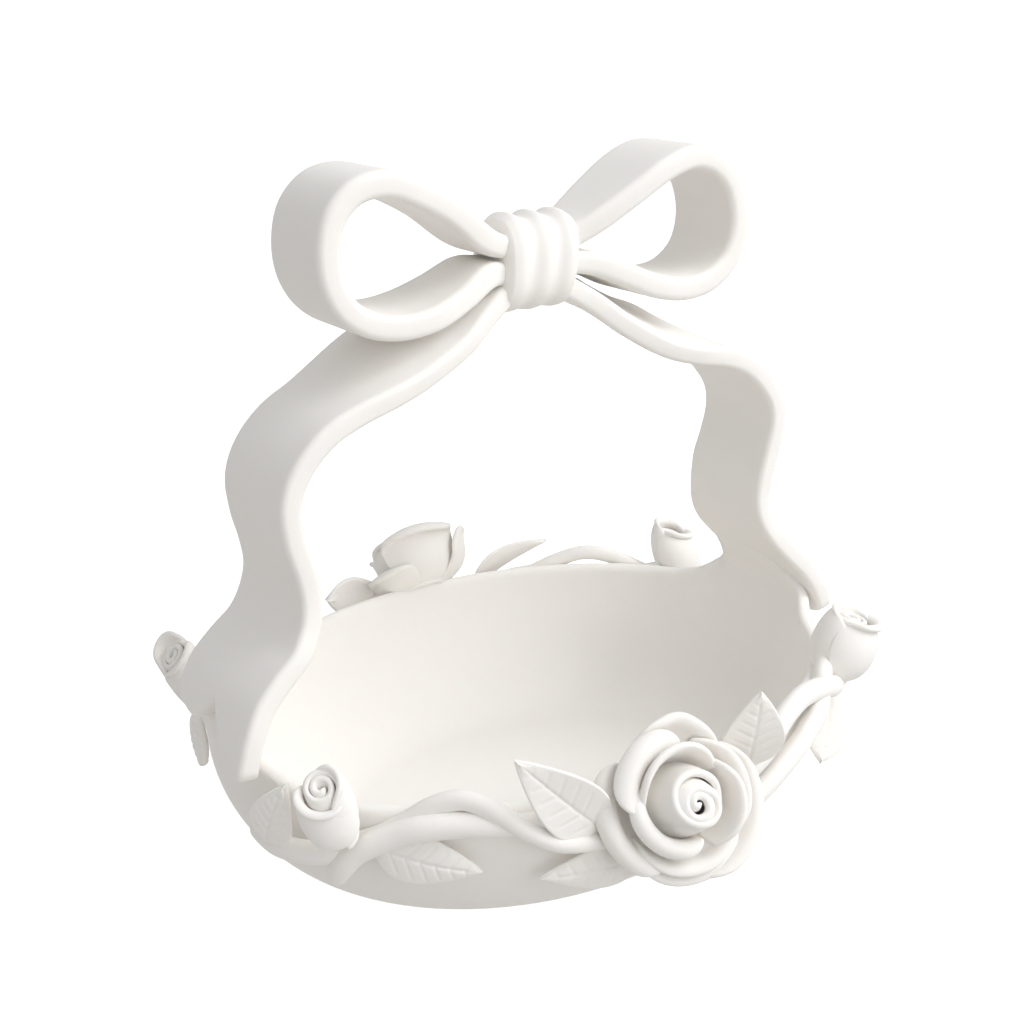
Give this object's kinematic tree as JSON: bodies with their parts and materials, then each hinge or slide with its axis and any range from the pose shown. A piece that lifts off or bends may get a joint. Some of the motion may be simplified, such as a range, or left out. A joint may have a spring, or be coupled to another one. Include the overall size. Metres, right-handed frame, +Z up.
{
  "type": "flower girl basket",
  "caption": "Oval footed ceramic bowl with a wavy ribbon handle tied in a bow, roses, rosebuds, leaves and twisted vines applied round the rim.",
  "frame": {"origin": "centre of the flat foot, on the plane that the basket stands on", "axes": "+Z up, X along the handle from end to end, -Y towards the side with the large rose"},
  "size_m": [0.2061, 0.182, 0.1947],
  "materials": {
    "bisque": "matt unglazed, very fine grain"
  },
  "bodies": {
    "root": {"bowl": "bisque", "handle_ribbon_left": "bisque", "handle_ribbon_right": "bisque", "bow_loop_left": "bisque", "bow_loop_right": "bisque", "bow_knot": "bisque", "front_vine_upper": "bisque", "front_vine_lower": "bisque", "left_vine": "bisque", "right_vine_upper": "bisque", "right_vine_lower": "bisque", "back_vine_upper": "bisque", "back_vine_lower": "bisque", "back_left_vine": "bisque", "front_rose_heart": "bisque", "front_rose_inner_petal_1": "bisque", "front_rose_inner_petal_2": "bisque", "front_rose_inner_petal_3": "bisque", "front_rose_middle_petal_1": "bisque", "front_rose_middle_petal_2": "bisque", "front_rose_middle_petal_3": "bisque", "front_rose_outer_petal_1": "bisque", "front_rose_outer_petal_2": "bisque", "front_rose_outer_petal_3": "bisque", "front_rose_outer_petal_4": "bisque", "back_rose_heart": "bisque", "back_rose_inner_petal_1": "bisque", "back_rose_inner_petal_2": "bisque", "back_rose_inner_petal_3": "bisque", "back_rose_outer_petal_1": "bisque", "back_rose_outer_petal_2": "bisque", "back_rose_outer_petal_3": "bisque", "back_rose_outer_petal_4": "bisque", "front_bud_heart": "bisque", "front_bud_petal_1": "bisque", "front_bud_petal_2": "bisque", "right_bud_heart": "bisque", "right_bud_petal_1": "bisque", "right_bud_petal_2": "bisque", "left_bud_heart": "bisque", "left_bud_petal_1": "bisque", "left_bud_petal_2": "bisque", "back_bud_heart": "bisque", "back_bud_petal_1": "bisque", "back_bud_petal_2": "bisque", "front_leaf_beside_rose": "bisque", "front_leaf_under_rose": "bisque", "front_leaf_on_bowl": "bisque", "front_leaf_by_bud": "bisque", "right_leaf_beside_rose": "bisque", "right_leaf_by_vine": "bisque", "back_leaf_by_vine": "bisque", "back_leaf_by_rose": "bisque", "left_leaf_by_bud": "bisque"}
  },
  "joints": []
}
